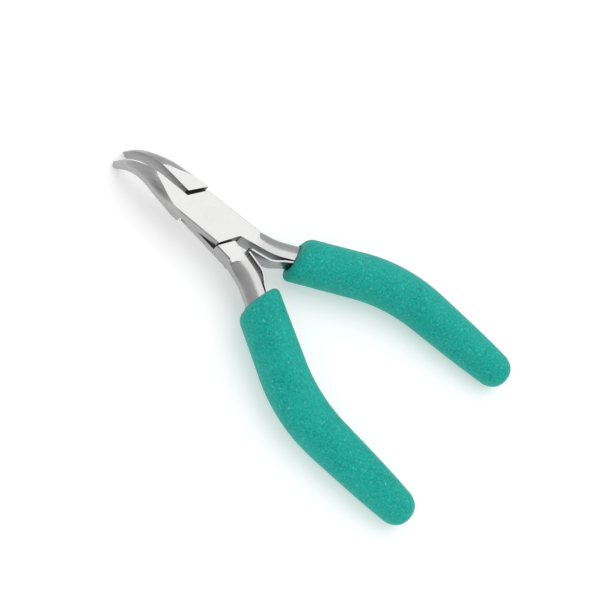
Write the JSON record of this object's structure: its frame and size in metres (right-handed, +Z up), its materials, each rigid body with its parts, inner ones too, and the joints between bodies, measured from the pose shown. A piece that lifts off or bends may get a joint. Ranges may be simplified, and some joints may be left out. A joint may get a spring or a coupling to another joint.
{
  "type": "needle nose pliers",
  "caption": "Small lap-joint pliers with a bent, tapering half-round nose, toothed gripping faces, leaf springs that open the jaws and long foam sleeves on splayed handles.",
  "frame": {"origin": "on the pivot axis, in the flat underside face of the lap joint", "axes": "+X along the tool from the pivot to the jaws, +Y towards the left handle, +Z up through the joint's top face; the nose bends down towards -Z"},
  "size_m": [0.1469, 0.076, 0.0194],
  "materials": {
    "joint_steel": "ground and polished flats, satin sides",
    "rivet_steel": "ground flush and polished",
    "spring_steel": "satin",
    "fastener_steel": "plain",
    "grip_foam": "matt closed-cell foam"
  },
  "bodies": {
    "right_handle_body": {"right_handle_half": "joint_steel", "pivot_rivet": "rivet_steel", "right_leaf_spring": "spring_steel", "right_spring_rivet": "fastener_steel", "right_grip": "grip_foam"},
    "left_handle_body": {"left_handle_half": "joint_steel", "left_leaf_spring": "spring_steel", "left_spring_rivet": "fastener_steel", "left_grip": "grip_foam"}
  },
  "joints": [
    {"name": "jaw_pivot", "type": "hinge", "parent": "right_handle_body", "child": "left_handle_body", "pos_m": [0, 0, 0], "axis": [0, 0, 1], "range_deg": [-9, 7.3], "stiffness_Nm_per_rad": 2, "deforming": ["right_leaf_spring", "left_leaf_spring"]}
  ]
}
